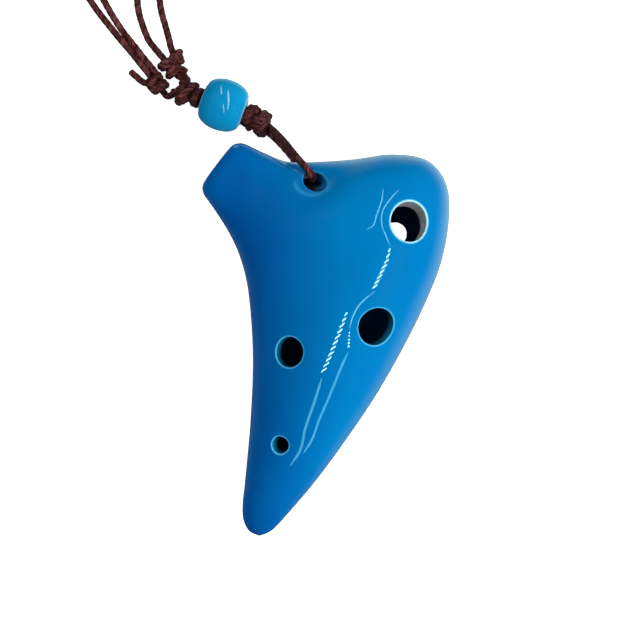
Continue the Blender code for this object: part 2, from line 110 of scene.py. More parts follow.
# Windway in the mouthpiece, with the window and the labium's ramp on the back
MOUTH = Vector((-25.95, 41.05, 14.4))
WINDWAY_RUN, WINDWAY_SIDE = Vector((0.80, -0.60, 0.0)), Vector((0.60, 0.80, 0.0))
WINDWAY_LENGTH, WINDWAY_DROP = 19.5, 6.8
WINDWAY_WIDTHS, WINDWAY_HEIGHTS = (9.2, 8.2), (1.7, 1.3)
BLOCK_SETBACK, BLOCK_MARGIN = 3.2, 0.6
BLOCK_TOP_START, BLOCK_TOP_END = 20.0, 22.6
WINDOW_LENGTH, RAMP_LENGTH, BELOW_BACK = 5.0, 9.5, -4.0
WINDOW_OVERLAP, WINDOW_TOP, RAMP_OVERLAP, RAMP_FLARE, RAMP_END = 0.4, 2.0, 0.7, 0.3, -0.3
SLOT_START, SLOT_CLEARANCE = -2.0, 0.1

# Round holes: point on the axis, outward axis, radius, rounding and paleness of the rim, bareness of the wall
HOLES = (
    ((19.6, 27.8, 31.6), (0.40, 0.26, 1), 4.50, 0.75, 1.0, 1.0),
    ((11.9, 3.1, 30.9), (0.40, -0.20, 1), 4.50, 0.45, 0.6, 0.5),
    ((-8.7, -2.8, 28.4), (-0.32, 0.00, 1), 3.60, 0.42, 0.6, 0.5),
    ((-10.9, -24.8, 26.1), (-0.34, -0.12, 1), 2.05, 0.45, 0.6, 0.5),
    ((17.1, 25.9, 2.5), (0.08, 0.06, -1), 3.0, 0.50, 0.8, 0.8),
    ((-8.6, 9.6, 4.0), (-0.20, 0.08, -1), 3.1, 0.50, 0.8, 0.4),
)
RIM_STEPS, RIM_PALENESS = 4, (0.75, 1.0, 1.0, 0.8)
INNER_STEPS, INNER_ROUND = 2, 0.35
HOLE_REACH, HOLE_SNAP = 4.0, 0.3  # mesh near an edge, in mm, and mesh moved on to it, in its edges' lengths
HOLE_FACING = 0.15  # least agreement between the surface's normal and the axis of a hole in it
STRAP_HOLE, STRAP_AXIS, STRAP_ROUND, STRAP_PALE = (-2.7, 37.4, 24.7), (0.30, 0.0, 1.0), 0.6, 0.15
STRAP_FRONT_RADIUS, STRAP_BACK_RADIUS = 2.45, 1.72
DIMPLE_DEPTH, DIMPLE_RADII = 2.4, (5.2, 4.6)
# Painted highlight arc below the strap hole: centre, radii, width and strength
HIGHLIGHT_ARC, HIGHLIGHT_ARC_RADII, HIGHLIGHT_ARC_WIDTH, HIGHLIGHT_ARC_STRENGTH = (-3.2, 37.7), (4.2, 3.6), 0.10, 0.2
SMOOTH_FACES = 0.3  # least agreement between a face and the body's normal for the face to take that normal
CUT_DISTANCE, CUT_FACING = 0.05, 0.5  # a face farther off the body or agreeing less with it is a cut's own

# Low relief round the strap hole: points, height and width
RELIEF = (
    (((-17.0, 42.8), (-12.0, 41.6), (-8.6, 40.2), (-7.4, 38.0), (-7.0, 35.4)), 0.30, 1.6),
    (((-10.2, 42.4), (-8.0, 41.2), (-5.4, 39.7)), -0.55, 0.7),
    (((1.0, 38.2), (5.0, 39.6), (10.4, 40.8), (15.5, 41.2)), -0.35, 1.8),
)

# Cord, bead and knots
CORD, FULLER = 1.6, 0.09  # the strands bulge a little past the cord's nominal radius
BEAD_CENTRE = Vector((-25.1, 57.4, 6.4))
BEAD_TURN = radians(-21.0)
BEAD_AXIS = Vector((cos(BEAD_TURN), sin(BEAD_TURN), 0))
BEAD_RADIUS, BEAD_HALF, BEAD_BORE, BEAD_END_RADIUS = 6.35, 5.2, 2.05, 3.5
BEAD_LIP, BEAD_LIP_RISE = 0.72, 0.25
LOWER_KNOT, LOWER_KNOT_RUN = Vector((-16.7, 53.55, 6.95)), Vector((0.83, -0.53, 0.17))
UPPER_KNOT, UPPER_KNOT_RUN = Vector((-33.55, 60.05, 6.0)), Vector((0.94, -0.34, 0.05))
LEFT_KNOT, LEFT_RUN = Vector((-41.8, 63.1, 2.7)), Vector((-0.627, 0.779, 0.0))
RIGHT_KNOT, RIGHT_RUN = Vector((-38.5, 67.3, 2.7)), Vector((-0.634, 0.773, 0.0))
RIGHT_LOBE, RIGHT_LOBE_RUN = Vector((-36.75, 69.45, 2.9)), Vector((-0.10, 0.985, 0.0))
# Windings of the sliding knots: place along the run, radius, turns, starting turn and lean
LEFT_LOBES = ((-1.1, 1.72, 1.7, 0.3, 0.35), (0.9, 1.75, 1.8, 2.6, -0.4))
RIGHT_LOBES = ((-1.2, 1.75, 1.7, 1.1, -0.4), (0.9, 1.8, 1.8, 0.2, 0.5))
RIGHT_SECOND_LOBE = ((0.0, 0.55, 2.0, 0.5, 0.1), (-0.35, 1.3, 1.6, 0.3, 0.35), (0.75, 1.15, 1.5, 2.6, -0.3))
COIL_CENTRE = Vector((-51.3, 101.5, 0.0))
COIL_RADIUS, COIL_COLUMNS, COIL_FIRST_LAYER, COIL_UNEVEN = 9.2, 5, 1.45, 0.07
COIL_ENTRIES, TURN_POINTS, COIL_STEP = (radians(196), radians(330)), 36, 0.5
CORD_STEP, JOIN_POINTS, RETURN_POINTS = 0.25, 12, 36  # sampling, points at a join and before a return
BLEND_START, BLEND_END = 60, -8  # points of a return between which it bends
COIL_SHIFT = 0.22  # share of a turn in which it moves on to the next column or layer
STRANDS_APART, STRAND_PLACES = CORD / 2 + 0.12, (-7.2, -2.4, 2.4, 7.2)  # the two strands in the bead
TIE_THREAD, TIE_TURNS, TIE_WIDTH = 0.55, 5, 2.6

# Camera and stage
CAMERA = Vector((-1.44, 4.73, 517.0))
CAMERA_LENS = 117.19
ROOM_LOW, ROOM_HIGH = 0.75, 0.006
FLOOR_HALF, WALL_RADIUS, WALL_HEIGHT = 1.5, 1.45, 3.0  # metres
STRIP_LIFT, STRIP_STEP, DASH_STEP = 3.0, 0.4, 0.1
STRIP_POINT, STRIP_TAPER = 0.3, 6  # least share of the width, and points over which a strip narrows to it
DASH_TAPER_START, DASH_TAPER = 8, 36  # the same for a line of dashes, at its start only

# Highlights in the glaze: points in plan, width, and for dashes their spacing, length and slant
SOLID_LINES = (
    (((13.3, 35.3), (12.9, 32.5), (11.7, 29.0), (11.0, 26.8), (9.4, 25.7)), 0.28),
    (((17.0, 35.2), (14.9, 32.8), (13.1, 30.0), (12.9, 27.0), (13.5, 25.2), (14.9, 21.9)), 0.26),
    (((11.3, 11.4), (8.2, 8.8), (6.4, 6.0), (5.4, 2.6)), 0.30),
)
DASHED_LINES = (
    (((14.7, 21.2), (14.0, 18.4), (12.6, 15.2), (10.9, 11.7)), 0.70, (1.3, 0.56), -0.58),
    (((4.7, 6.4), (3.2, 2.2), (1.4, -2.4), (-0.7, -7.4)), 0.78, (1.35, 0.6), -0.62),
    (((5.4, 2.0), (5.2, -1.6)), 0.38, (0.8, 0.4)),
)
SOFT_LINES = (
    (((5.1, -2.8), (3.2, -7.0), (0.9, -12.8), (-1.6, -18.6), (-3.3, -23.3), (-5.4, -26.8)), 0.55),
    (((-1.0, -8.8), (-2.6, -14.0), (-4.9, -20.8), (-6.0, -25.7), (-8.4, -29.6)), 0.60),
)
BEAD_LINES = (
    (((-25.45, 61.4), (-25.3, 59.0)), 0.42),
    (((-23.75, 60.5), (-23.6, 57.9), (-23.8, 55.7)), 0.46),
    (((-24.9, 57.1), (-24.75, 54.9)), 0.40),
)


def smooth_value(rows, t):
    """Value at row number t on a smooth curve through the rows."""
    rows = np.asarray(rows, float)
    i = max(0, min(int(t), len(rows) - 2))
    u = t - i
    a, b = rows[i], rows[i + 1]
    before = rows[i - 1] if i > 0 else 2 * a - b
    after = rows[i + 2] if i + 2 < len(rows) else 2 * b - a
    m0, m1 = (b - before) / 2, (after - a) / 2
    return ((2 * u**3 - 3 * u**2 + 1) * a + (u**3 - 2 * u**2 + u) * m0
            + (3 * u**2 - 2 * u**3) * b + (u**3 - u**2) * m1)


def smooth_step(x, low, high):
    s = np.clip((x - low) / (high - low), 0.0, 1.0)
    return s * s * (3 - 2 * s)


def dimple(x, y):
    """How far the surface sinks round the strap hole."""
    dx, dy = (x - STRAP_HOLE[0]) / DIMPLE_RADII[0], (y - STRAP_HOLE[1]) / DIMPLE_RADII[1]
    return DIMPLE_DEPTH * np.exp(-dx * dx - dy * dy)


def relief(plan):
    """Height of the modelled ridges and grooves over points in plan."""
    height = np.zeros(len(plan))
    for line, rise, width in RELIEF:
        line = np.array(line)
        nearest = np.full(len(plan), 1e9)
        for a, b in zip(line, line[1:]):
            share = np.clip((plan - a) @ (b - a) / ((b - a) @ (b - a)), 0, 1)
            nearest = np.minimum(nearest, np.linalg.norm(plan - a - share[:, None] * (b - a), axis=1))
        height += rise * np.exp(-((nearest / width) ** 2))
    return height


def body_ring(t, points, inset=0.0, strap_inset=0.0, out=0.0, sunk=True):
    """Points round the body at section t, drawn in by inset and moved out past the mouth end."""
    lx, ly, rx, ry, front, back, crown, full = smooth_value(SECTIONS, t)
    left, right = np.array((lx, ly)), np.array((rx, ry))
    width = np.linalg.norm(right - left)
    across = (right - left) / max(width, 1e-9)
    left, right = left + across * inset, right - across * (inset + strap_inset)
    middle, half = (left + right) / 2, (right - left) / 2
    angle = tau * np.arange(points) / points
    c, s = np.cos(angle), np.sin(angle)
    s[0] = s[points // 2] = 0.0
    u = np.sign(c) * np.abs(c) ** (2 / full)
    v = np.sign(s) * np.abs(s) ** (2 / full)
    bias = np.where(v > 0, crown, crown * BACK_CROWN)
    plan = middle + half * (u + bias * (1 - u * u))[:, None] - np.array(WINDWAY_RUN[:2]) * out
    z = SEAM_Z + v * (np.where(v > 0, front, back) - inset)
    if sunk:
        z -= np.sign(v) * dimple(plan[:, 0], plan[:, 1]) * smooth_step(np.abs(v), 0.05, 0.6)
        z += relief(plan) * smooth_step(v, 0.05, 0.5)
    z = np.where(z < REST_ROUND, (z + np.sqrt(z * z + 0.09)) / 2 - REST_DROP, z)
    return np.column_stack((plan, z))


def outer_rings():
    rings = []
    for k in range(ROUND_RINGS):
        angle = pi / 2 * (1 - k / ROUND_RINGS)
        out = MOUTH_REACH * sin(angle)
        inset = MOUTH_ROUND * (1 - cos(angle)) + MOUTH_TAPER * sin(angle)
        rings.append(body_ring(0, OUTER_POINTS, inset=inset, out=out))
    last = len(SECTIONS) - 1
    rings += [body_ring((last - 1) * k / OUTER_RINGS, OUTER_POINTS) for k in range(OUTER_RINGS + 1)]
    return rings + [body_ring(last - 1 + share, OUTER_POINTS) for share in TIP_RINGS]


def chamber_rings():
    rings = []
    for k in range(CHAMBER_RINGS + 1):
        t = CHAMBER_START + (CHAMBER_END - CHAMBER_START) * k / CHAMBER_RINGS
        strap = WALL_AT_STRAP * exp(-(((t - STRAP_SECTION) / STRAP_SPREAD) ** 2))
        rings.append(body_ring(t, CHAMBER_POINTS, inset=WALL, strap_inset=strap, sunk=False))
    return rings


def add_rings(bm, rings, tip=None, inward=False):
    """Closed surface through rings, with flat ends or a pointed last one; returns its points."""
    loops = [[bm.verts.new(p) for p in ring] for ring in rings]
    made = [face for a, b in zip(loops, loops[1:]) for face in join_rings(bm, a, b)]
    made.append(bm.faces.new(list(reversed(loops[0]))))
    if tip is None:
        made.append(bm.faces.new(loops[-1]))
    else:
        point = bm.verts.new(tip)
        made += fan(bm, loops[-1], point)
        loops.append([point])
    if inward:
        bmesh.ops.reverse_faces(bm, faces=made)
    return {v for loop in loops for v in loop}


class RoundHole:
    """A round hole through the shell, with its axis pointing outwards."""

    def __init__(self, place, axis):
        self.place, self.axis = Vector(place), Vector(axis).normalized()
        self.side = self.axis.orthogonal().normalized()
        self.up = self.axis.cross(self.side)

    def across(self, p):
        """Distance from the axis, and the unit direction away from it."""
        d = p - self.place
        d -= self.axis * d.dot(self.axis)
        return d.length, d.normalized() if d.length > 1e-9 else self.side

    def angle(self, p):
        d = p - self.place
        return atan2(d.dot(self.up), d.dot(self.side))


def cut_border(bm, verts, hole, edge):
    """Opens the sheet of verts at distance edge from the hole's axis; returns its border in order."""
    near = {}
    for v in verts:
        if v.is_valid and v.normal.dot(hole.axis) > HOLE_FACING:
            distance, _ = hole.across(v.co)
            if distance < edge + HOLE_REACH:
                near[v] = distance - edge
    for v, gap in near.items():
        if abs(gap) < HOLE_SNAP * min(e.calc_length() for e in v.link_edges):
            _, away = hole.across(v.co)
            v.co += away * -gap + hole.axis * (gap * away.dot(v.normal) / hole.axis.dot(v.normal))
            near[v] = 0.0
    crossing = {e for v in near for e in v.link_edges
                if all(w in near for w in e.verts) and near[e.verts[0]] * near[e.verts[1]] < 0}
    for e in crossing:
        a, b = e.verts
        share = near[a] / (near[a] - near[b])
        normal = a.normal.lerp(b.normal, share).normalized()
        _, new = bmesh.utils.edge_split(e, a, share)
        new.normal = normal
        near[new] = 0.0
        verts.add(new)
    border = {v for v, gap in near.items() if gap == 0.0}
    for face in {f for v in border for f in v.link_faces}:
        gaps = [near.get(v, 1.0) for v in face.verts]
        if min(gaps) < 0 < max(gaps):
            on = [v for v in face.verts if v in border]
            if len(on) == 2:
                bmesh.utils.face_split(face, on[0], on[1])
    inside = {f for v, gap in near.items() if gap < 0 for f in v.link_faces}
    bmesh.ops.delete(bm, geom=list(inside), context="FACES")
    border = [v for v in border if v.is_valid and any(len(e.link_faces) == 1 for e in v.link_edges)]
    return sorted(border, key=lambda v: hole.angle(v.co))


def join_rings(bm, a, b):
    return [bm.faces.new((a[k - 1], a[k], b[k], b[k - 1])) for k in range(len(a))]


def fan(bm, ring, point):
    return [bm.faces.new((ring[k - 1], ring[k], point)) for k in range(len(ring))]


def rounded_rim(bm, border, hole, rounding, steps, pale, bare, layers):
    """Rounds the sheet over from its border into the hole; returns the ring where the wall begins."""
    rim, wall = layers
    starts = [(v.co.copy(), hole.across(v.co)[1], v.normal.copy()) for v in border]
    last = border
    for k in range(1, steps + 1):
        s = k / steps
        ring = []
        for start, away, normal in starts:
            rise = rounding * away.dot(normal) / max(0.3, hole.axis.dot(normal))
            corner = start - away * rounding + hole.axis * rise
            deep = corner - hole.axis * rounding
            v = bm.verts.new(start * (1 - s) ** 2 + corner * (2 * s * (1 - s)) + deep * s * s)
            v[rim] = pale * RIM_PALENESS[k - 1]
            v[wall] = bare * max(0.0, 2 * s - 1)
            ring.append(v)
        join_rings(bm, last, ring)
        last = ring
    ring = []
    for v in last:
        new = bm.verts.new(v.co - hole.axis * 0.5)
        new[wall] = bare
        ring.append(new)
    join_rings(bm, last, ring)
    return ring


def zip_rings(bm, hole, a, b):
    """Band of triangles between two rings round one axis."""
    a, b = (sorted(ring, key=lambda v: hole.angle(v.co)) for ring in (a, b))
    turn = {v: hole.angle(v.co) for v in a + b}
    i = j = 0
    while i < len(a) or j < len(b):
        next_a = turn[a[i + 1]] if i + 1 < len(a) else turn[a[0]] + tau
        next_b = turn[b[j + 1]] if j + 1 < len(b) else turn[b[0]] + tau
        one, other = a[i % len(a)], b[j % len(b)]
        if i < len(a) and (j >= len(b) or next_a <= next_b):
            i += 1
            bm.faces.new((one, a[i % len(a)], other))
        else:
            j += 1
            bm.faces.new((one, b[j % len(b)], other))


def strap_highlight_arc(p):
    """Painted highlight: a pale arc along the lower lip of the dimple, carried in the rim value."""
    dx, dy = (p.x - HIGHLIGHT_ARC[0]) / HIGHLIGHT_ARC_RADII[0], (p.y - HIGHLIGHT_ARC[1]) / HIGHLIGHT_ARC_RADII[1]
    near = exp(-(((hypot(dx, dy) - 1) / HIGHLIGHT_ARC_WIDTH) ** 2))
    return HIGHLIGHT_ARC_STRENGTH * (near * float(smooth_step(-dy, -0.15, 0.35)))


def solid_body():
    """The whole fired body before it is parted: outer surface, chamber, and every round hole."""
    bm = bmesh.new()
    layers = [bm.verts.layers.float.new(name) for name in ("rim", "wall")]
    tip = Vector((SECTIONS[-1][0], SECTIONS[-1][1], SEAM_Z))
    outer = add_rings(bm, outer_rings(), tip)
    inner = add_rings(bm, chamber_rings(), inward=True)
    # Painted shade: the chamber's inner surface gets a low bareness, which colours it as dark thin glaze.
    for v in inner:
        v[layers[1]] = CHAMBER_SHADE_BARENESS
    # The front's rim value starts with the painted highlight arc by the strap hole.
    for v in outer:
        if v.co.z > SEAM_Z:
            v[layers[0]] = strap_highlight_arc(v.co)
    for place, axis, radius, rounding, pale, bare in HOLES:
        bm.normal_update()
        hole = RoundHole(place, axis)
        border = cut_border(bm, outer, hole, radius + rounding)
        top = rounded_rim(bm, border, hole, rounding, RIM_STEPS, pale, bare, layers)
        inside = RoundHole(place, -hole.axis)
        border = cut_border(bm, inner, inside, radius + INNER_ROUND)
        bottom = rounded_rim(bm, border, inside, INNER_ROUND, INNER_STEPS, 0.0, bare, layers)
        zip_rings(bm, hole, top, bottom)
    bm.normal_update()
    ends = []
    for sign, radius in ((1, STRAP_FRONT_RADIUS), (-1, STRAP_BACK_RADIUS)):
        hole = RoundHole(STRAP_HOLE, Vector(STRAP_AXIS) * sign)
        border = cut_border(bm, outer, hole, radius + STRAP_ROUND)
        ends.append(rounded_rim(bm, border, hole, STRAP_ROUND, RIM_STEPS, STRAP_PALE, 0.0, layers))
    zip_rings(bm, RoundHole(STRAP_HOLE, STRAP_AXIS), *ends)
    bmesh.ops.recalc_face_normals(bm, faces=bm.faces)
    bm.normal_update()
    return bm


def new_object(name, data):
    obj = bpy.data.objects.new(name, data)
    bpy.context.scene.collection.objects.link(obj)
    return obj


def add_object(name, bm, unit=1.0):
    """Object made of the mesh, whose lengths are in the unit."""
    for v in bm.verts:
        v.co *= unit
    mesh = bpy.data.meshes.new(name)
    bm.to_mesh(mesh)
    bm.free()
    return new_object(name, mesh)


def add_closed(name, bm, material=None):
    """Object made of a closed mesh in millimetres."""
    bmesh.ops.recalc_face_normals(bm, faces=bm.faces)
    obj = add_object(name, bm, MM)
    if material:
        obj.data.shade_smooth()
        obj.data.materials.append(material)
    return obj


def half_shell(name, whole, front):
    """The part of the body in front of the seam or behind it, closed along the seam."""
    bm = whole.copy()
    everything = bm.verts[:] + bm.edges[:] + bm.faces[:]
    bmesh.ops.bisect_plane(bm, geom=everything, dist=1e-4, plane_co=(0, 0, SEAM_Z), plane_no=(0, 0, 1),
                           clear_inner=front, clear_outer=not front)
    border = [e for e in bm.edges if len(e.link_faces) == 1]
    bmesh.ops.triangle_fill(bm, use_beauty=True, edges=border, normal=(0, 0, -1 if front else 1))
    return add_closed(name, bm)


def wedge(name, start, end):
    """Closed six-sided block between two four-cornered ends."""
    bm = bmesh.new()
    a = [bm.verts.new(p) for p in start]
    b = [bm.verts.new(p) for p in end]
    bm.faces.new(a)
    bm.faces.new(b)
    join_rings(bm, a, b)
    return add_closed(name, bm)


def along_windway(distance, side, z):
    p = MOUTH + WINDWAY_RUN * distance + WINDWAY_SIDE * side
    return Vector((p.x, p.y, z))


def windway_floor(distance):
    return MOUTH.z - WINDWAY_DROP * distance / WINDWAY_LENGTH


def windway_size(distance):
    """Width and height of the windway."""
    share = distance / WINDWAY_LENGTH
    return [start + (end - start) * share for start, end in (WINDWAY_WIDTHS, WINDWAY_HEIGHTS)]


def corners(distance, half_width, low, high):
    return [along_windway(distance, s * half_width, z)
            for s, z in ((-1, low), (1, low), (1, high), (-1, high))]


def windway_cutters():
    """Blocks that cut the windway, the fipple block's pocket, the window and the labium's ramp."""
    slot, pocket = [], []
    for distance in (SLOT_START, WINDWAY_LENGTH):
        width, height = windway_size(distance)
        z = windway_floor(distance)
        slot.append(corners(distance, width / 2, z - height / 2, z + height / 2 + SLOT_CLEARANCE))
    for distance, top in ((BLOCK_SETBACK, BLOCK_TOP_START), (WINDWAY_LENGTH, BLOCK_TOP_END)):
        width, height = windway_size(distance)
        pocket.append(corners(distance, width / 2 + BLOCK_MARGIN, windway_floor(distance) + height / 2, top))
    half, far = WINDWAY_WIDTHS[1] / 2, WINDWAY_LENGTH + WINDOW_LENGTH
    high = windway_floor(WINDWAY_LENGTH) + WINDOW_TOP
    window = [corners(distance, half, BELOW_BACK, high)
              for distance in (WINDWAY_LENGTH - WINDOW_OVERLAP, far)]
    ramp = (corners(far - RAMP_OVERLAP, half - RAMP_FLARE, BELOW_BACK, windway_floor(far)),
            corners(far + RAMP_LENGTH, half + RAMP_FLARE, BELOW_BACK, RAMP_END))
    ends = {"slot": slot, "pocket": pocket, "window": window, "ramp": ramp}
    return {name: wedge(name + "_cutter", *pair) for name, pair in ends.items()}


def cut(obj, cutters):
    """Takes the cutters out of obj for good."""
    for cutter in cutters:
        modifier = obj.modifiers.new(cutter.name, "BOOLEAN")
        modifier.solver = "EXACT"
        modifier.operation = "DIFFERENCE"
        modifier.object = cutter
    graph = bpy.context.evaluated_depsgraph_get()
    mesh = bpy.data.meshes.new_from_object(obj.evaluated_get(graph))
    obj.modifiers.clear()
    obj.data = mesh


class Surface:
    """The uncut body, asked for its smooth normal and glaze values at any point."""

    def __init__(self, bm):
        bm.faces.ensure_lookup_table()
        self.bm, self.tree = bm, BVHTree.FromBMesh(bm)
        self.layers = [bm.verts.layers.float[name] for name in ("rim", "wall")]

    def at(self, p):
        place, _, index, distance = self.tree.find_nearest(p)
        verts = self.bm.faces[index].verts
        shares = poly_3d_calc([v.co for v in verts], place)
        normal = sum((v.normal * s for v, s in zip(verts, shares)), Vector())
        rim, wall = (sum(v[layer] * s for v, s in zip(verts, shares)) for layer in self.layers)
        return normal.normalized(), rim, wall, distance

    def seen_from_above(self, x, y):
        """Point and smooth normal where a line straight down meets the body."""
        place, _, _, _ = self.tree.ray_cast(Vector((x, y, 200)), Vector((0, 0, -1)))
        return place, self.at(place)[0]


def smooth_like(obj, surface):
    """Gives the shell the whole body's normals, rim and wall values where it is still that surface."""
    mesh = obj.data
    mesh.shade_smooth()
    found = [surface.at(v.co / MM) for v in mesh.vertices]
    for name, column in (("rim", 1), ("wall", 2)):
        if name in mesh.attributes:
            mesh.attributes.remove(mesh.attributes[name])
        attribute = mesh.attributes.new(name, "FLOAT", "POINT")
        attribute.data.foreach_set("value", [f[column] for f in found])
    normals = []
    for face in mesh.polygons:
        middle = surface.at(face.center / MM)
        cut_face = middle[3] > CUT_DISTANCE or middle[0].dot(face.normal) < CUT_FACING
        for vertex in face.vertices:
            normal = found[vertex][0]
            flat = cut_face or normal.dot(face.normal) < SMOOTH_FACES
            normals.append(face.normal if flat else normal)
    mesh.normals_split_custom_set(normals)


# ---- materials

# Scales of the noises in the materials, in cells a metre
POOL_GRAIN, RAGGED_GRAIN, STAIN_GRAIN = 38.0, 700.0, 260.0
BARE_GRAIN, DULL_GRAIN, WAVE_GRAIN = 420.0, 160.0, 90.0
CLAY_GRAIN, CLAY_PATCH = 1400.0, 120.0
HAIR_GRAIN, HAIR_STRETCH, CORD_PATCH = 5200.0, 0.16, 420.0

# Thin glaze at an edge and on a wall, as shares of the pale colour
THIN_EDGE, THIN_WALL = (0.12, 0.56, 0.85), (0.002, 0.19, 0.31)
RIM_STEP, WALL_STEP = 0.6, 0.5


def scaled(colour, shares):
    return tuple(c * s for c, s in zip(colour, shares))


class Nodes:
    """Adds nodes to a tree. A value is a number, a colour or another node's output."""

    def __init__(self, tree):
        self.tree = tree

    def put(self, value, socket):
        if isinstance(value, bpy.types.NodeSocket):
            self.tree.links.new(value, socket)
        else:
            socket.default_value = (*value, 1.0) if socket.type == "RGBA" else value

    def add(self, kind, values=None, **settings):
        """Adds a node and returns its outputs."""
        made = self.tree.nodes.new("ShaderNode" + kind)
        for key, value in settings.items():
            setattr(made, key, value)
        for key, value in (values or {}).items():
            self.put(value, made.inputs[key])
        return made.outputs

    def noise(self, vector, scale, detail=3.0, rough=0.5):
        values = {"Vector": vector, "Scale": scale, "Detail": detail, "Roughness": rough}
        return self.add("TexNoise", values)["Fac"]

    def spread(self, value, low, high, to_low=0.0, to_high=1.0):
        ends = {"From Min": low, "From Max": high, "To Min": to_low, "To Max": to_high}
        return self.add("MapRange", {"Value": value, **ends})["Result"]

    def mix(self, share, a, b):
        return self.add("Mix", {"Factor": share, "A": a, "B": b}, data_type="RGBA")["Result"]

    def math(self, operation, a, b):
        return self.add("Math", {0: a, 1: b}, operation=operation)["Value"]

    def plus(self, a, b):
        return self.math("ADD", a, b)

    def times(self, a, b):
        return self.math("MULTIPLY", a, b)

    def attribute(self, name, output="Fac"):
        return self.add("Attribute", attribute_name=name)[output]


class Material(Nodes):
    """Nodes of a new material round its Principled shader."""

    def __init__(self, name):
        self.made = bpy.data.materials.new(name)
        self.made.use_nodes = True
        super().__init__(self.made.node_tree)
        self.shader = self.tree.nodes["Principled BSDF"]

    def shade(self, values):
        """Sets the shader's inputs, and returns the material."""
        for key, value in values.items():
            self.put(value, self.shader.inputs[key])
        return self.made

    def bump(self, height, strength, distance):
        return self.add("Bump", {"Height": height, "Strength": strength, "Distance": distance})["Normal"]


def glaze_material(name, deep, clear, pale, clay, painted_shade_span):
    """Glossy coloured glaze with painted shade darkening its left side and painted light towards the
    mouthpiece end, that breaks pale over edges and leaves the inside walls bare.
    """
    m = Material(name)
    place = m.add("TexCoord")["Object"]
    across = m.add("SeparateXYZ", {"Vector": place})
    # Painted shade and light: the colour runs from deep on the left to clear on the right, and clearer again
    # towards the mouthpiece end, as the lamps fall on the body; the noise adds random tone.
    shade_light_and_tone = m.spread(across["X"], *painted_shade_span)
    upper = m.times(m.spread(across["Y"], 0.028, 0.050, 0.0, 0.35), m.math("SUBTRACT", 1.0, shade_light_and_tone))
    shade_light_and_tone = m.plus(m.plus(shade_light_and_tone, upper), m.spread(m.noise(place, POOL_GRAIN, 2.0), 0.3, 0.7, -0.12, 0.12))
    colour = m.mix(shade_light_and_tone, deep, clear)
    ragged = m.noise(place, RAGGED_GRAIN)
    # The rim value is glaze thinning pale over hole edges, and also carries the painted highlight arc by the
    # strap hole.
    rim = m.times(m.attribute("rim"), m.spread(ragged, 0.2, 0.6, 0.85, 1.08))
    colour = m.mix(m.spread(rim, 0.0, RIM_STEP), colour, scaled(pale, THIN_EDGE))
    colour = m.mix(m.spread(rim, RIM_STEP, 1.0), colour, pale)
    stain = m.mix(m.spread(m.noise(place, STAIN_GRAIN, 4.0), 0.35, 0.7), clay, deep)
    bare = m.times(m.attribute("wall"), m.spread(m.noise(place, BARE_GRAIN), 0.3, 0.7, 0.8, 1.05))
    clay_colour = m.mix(m.spread(ragged, 0.45, 0.75, 0.0, 0.6), clay, stain)
    colour = m.mix(m.spread(bare, 0.0, WALL_STEP), colour, scaled(pale, THIN_WALL))
    colour = m.mix(m.spread(bare, WALL_STEP, 1.0), colour, clay_colour)
    dull = m.spread(m.noise(place, DULL_GRAIN), 0.3, 0.7, 0.035, 0.06)
    wave = m.plus(m.noise(place, WAVE_GRAIN, 2.0), m.times(ragged, 0.08))
    return m.shade({"Base Color": colour, "Roughness": m.plus(dull, m.times(bare, 0.5)), "Coat Weight": 0.35,
                    "Coat Roughness": 0.02, "IOR": 1.52, "Normal": m.bump(wave, 0.02, 0.0006)})


def clay_material(name, light, dark):
    """Bare fired clay with a fine grain and darker specks."""
    m = Material(name)
    place = m.add("TexCoord")["Object"]
    grain = m.noise(place, CLAY_GRAIN, 4.0)
    colour = m.mix(m.spread(m.noise(place, CLAY_PATCH), 0.3, 0.7), light, dark)
    colour = m.mix(m.spread(grain, 0.62, 0.7), colour, scaled(dark, [0.4] * 3))
    return m.shade({"Base Color": colour, "Roughness": m.spread(grain, 0.3, 0.7, 0.7, 0.9),
                    "Normal": m.bump(grain, 0.4, 0.0002)})


def cord_material(name, dark, light, rough_low, rough_high):
    """Waxed twisted cotton, its fibres lighter where rubbed, with painted shade in the grooves and on the
    sides that face down.
    """
    m = Material(name)
    fibre = m.attribute("fibre", "Vector")
    stretched = m.add("Mapping", {"Vector": fibre, "Scale": (1.0, 1.0, HAIR_STRETCH)})["Vector"]
    hair = m.noise(stretched, HAIR_GRAIN, 3.0, 0.6)
    patch = m.noise(fibre, CORD_PATCH)
    share = m.plus(m.spread(hair, 0.44, 0.7, 0.0, 0.75), m.spread(patch, 0.46, 0.74, 0.0, 0.5))
    # Painted shade: the colour darkens in the twist's grooves.
    colour = m.mix(m.times(m.attribute("groove"), 0.75), m.mix(share, dark, light), scaled(dark, [0.25] * 3))
    # Painted shade: sides that face down or sideways are darkened by their normal.
    shade_by_facing = m.add("SeparateXYZ", {"Vector": m.add("TexCoord")["Normal"]})
    colour = m.mix(m.times(m.spread(shade_by_facing["Z"], 0.85, 0.0), 0.8), colour, scaled(dark, [0.5] * 3))
    return m.shade({"Base Color": colour, "Roughness": m.spread(patch, 0.3, 0.7, rough_low, rough_high),
                    "Specular IOR Level": 0.08, "Normal": m.bump(hair, 0.55, 0.00012)})


# ---- cords

def lengths_along(path):
    """Length from the path's start to each of its points."""
    return np.concatenate(([0.0], np.cumsum(np.linalg.norm(np.diff(path, axis=0), axis=1))))


def resample(points, step):
    """Points about a step apart along a smooth curve through the given ones."""
    rows = np.array([tuple(p) for p in points], float)
    fine = np.array([smooth_value(rows, t) for t in np.linspace(0, len(rows) - 1, 16 * len(rows))])
    lengths = lengths_along(fine)
    count = max(4, round(lengths[-1] / step) + 1)
    even = np.linspace(0, lengths[-1], count)
    return np.column_stack([np.interp(even, lengths, fine[:, k]) for k in range(3)])


